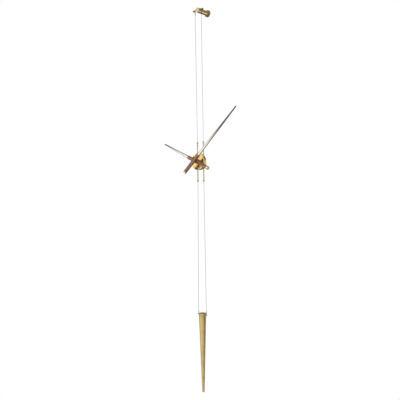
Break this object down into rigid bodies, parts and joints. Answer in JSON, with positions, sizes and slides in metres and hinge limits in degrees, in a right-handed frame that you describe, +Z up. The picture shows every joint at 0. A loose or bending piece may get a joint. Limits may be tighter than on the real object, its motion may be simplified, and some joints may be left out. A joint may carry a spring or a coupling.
{
  "type": "pendulum wall clock",
  "caption": "Slim wall clock: brass wall arm, steel cords, round case with long walnut and metal hands, and a hanging cone weight.",
  "frame": {"origin": "middle of the wall face of the bracket, at the mouth of the wall stud hole", "axes": "+Z up, +Y into the wall, +X to the right for a person facing the clock"},
  "size_m": [0.5142, 0.1348, 1.985],
  "materials": {
    "satin_brass": "satin, fine turning marks",
    "polished_brass": "polished",
    "tube_brass": "drawn tube, satin",
    "cap_metal": "polished pale brass",
    "needle_metal": "polished",
    "walnut": "oiled walnut",
    "steel_cord": "stranded steel",
    "crimp_metal": "pressed",
    "screw_steel": "dark steel",
    "bright_steel": "bright steel",
    "black_steel": "blackened",
    "black_plastic": "moulded",
    "gear_plastic": "moulded",
    "copper_wire": "enamelled copper wire",
    "board_green": "solder mask",
    "cell_wrap": "plain wrapped dry cell",
    "black_rubber": "moulded"
  },
  "bodies": {
    "bracket": {"wall_rosette": "satin_brass", "bracket_arm": "satin_brass"},
    "head": {"bracket_head": "satin_brass", "head_screw": "screw_steel", "crossbar": "satin_brass", "crossbar_screw": "screw_steel"},
    "cords": {"cord_left": "steel_cord", "cord_right": "steel_cord", "upper_ferrules": "crimp_metal", "lower_ferrules": "crimp_metal"},
    "case": {"guide_tubes": "tube_brass", "upper_collars": "polished_brass", "lower_collars": "polished_brass", "collar_screws": "screw_steel", "upper_tube_clamp": "polished_brass", "lower_tube_clamp": "polished_brass", "clamp_screws": "screw_steel", "case_shell": "polished_brass", "rear_cover": "satin_brass", "cover_screws": "screw_steel", "movement_front": "black_plastic", "movement_back": "black_plastic", "train_plate": "gear_plastic", "stator": "bright_steel", "coil": "copper_wire", "circuit_board": "board_green", "quartz_can": "bright_steel", "battery": "cell_wrap", "battery_contacts": "bright_steel", "shaft_nut": "polished_brass", "shaft_washer": "black_rubber"},
    "minute_hand": {"minute_arbor": "bright_steel", "minute_bush": "black_steel", "minute_stock_rod": "walnut", "minute_needle": "needle_metal", "minute_counterweight": "screw_steel", "minute_tail_cap": "cap_metal"},
    "hour_hand": {"hour_tube": "gear_plastic", "hour_bush": "black_steel", "hour_stock": "walnut", "hour_needle": "needle_metal", "hour_counterweight": "screw_steel", "hour_tail_cap": "cap_metal"},
    "motion_wheel": {"motion_wheel": "gear_plastic"},
    "third_wheel": {"third_wheel": "gear_plastic"},
    "fourth_wheel": {"fourth_wheel": "gear_plastic"},
    "rotor": {"rotor": "bright_steel"},
    "setting_knob": {"setting_knob": "black_plastic"},
    "weight": {"weight_cone": "satin_brass", "weight_pin": "bright_steel", "weight_screw": "screw_steel"}
  },
  "joints": [
    {"name": "head_swing", "type": "hinge", "parent": "bracket", "child": "head", "pos_m": [0, -0.05, 0], "axis": [0, 1, 0], "range_deg": [-5, 5]},
    {"name": "cord_swing", "type": "hinge", "parent": "head", "child": "cords", "pos_m": [0, -0.076, 0], "axis": [1, 0, 0], "range_deg": [-6, 1.2]},
    {"name": "case_slide", "type": "slide", "parent": "cords", "child": "case", "axis": [0, 0, 1], "range_m": [-0.04, 0.04]},
    {"name": "minute_spin", "type": "hinge", "parent": "case", "child": "minute_hand", "pos_m": [0, -0.1, -0.78], "axis": [0, 1, 0], "continuous": true},
    {"name": "hour_spin", "type": "hinge", "parent": "case", "child": "hour_hand", "pos_m": [0, -0.1, -0.78], "axis": [0, 1, 0], "continuous": true},
    {"name": "motion_spin", "type": "hinge", "parent": "case", "child": "motion_wheel", "pos_m": [0.00679, -0.085, -0.77321], "axis": [0, 1, 0], "continuous": true},
    {"name": "third_spin", "type": "hinge", "parent": "case", "child": "third_wheel", "pos_m": [-0.00736, -0.085, -0.77575], "axis": [0, 1, 0], "continuous": true},
    {"name": "fourth_spin", "type": "hinge", "parent": "case", "child": "fourth_wheel", "pos_m": [-0.00503, -0.085, -0.76706], "axis": [0, 1, 0], "continuous": true},
    {"name": "rotor_spin", "type": "hinge", "parent": "case", "child": "rotor", "pos_m": [-0.0175, -0.085, -0.763], "axis": [0, 1, 0], "continuous": true},
    {"name": "setting_spin", "type": "hinge", "parent": "case", "child": "setting_knob", "pos_m": [0.01807, -0.085, -0.76911], "axis": [0, 1, 0], "continuous": true},
    {"name": "weight_tilt", "type": "hinge", "parent": "cords", "child": "weight", "pos_m": [0, -0.07035, -1.567], "axis": [1, 0, 0], "range_deg": [-10, 3]}
  ],
  "couplings": [
    {"joint": "hour_spin", "follows": "minute_spin", "ratio": 0.083333},
    {"joint": "motion_spin", "follows": "minute_spin", "ratio": -0.33333},
    {"joint": "third_spin", "follows": "minute_spin", "ratio": -7.5},
    {"joint": "fourth_spin", "follows": "minute_spin", "ratio": 60},
    {"joint": "setting_spin", "follows": "minute_spin", "ratio": 0.5}
  ]
}
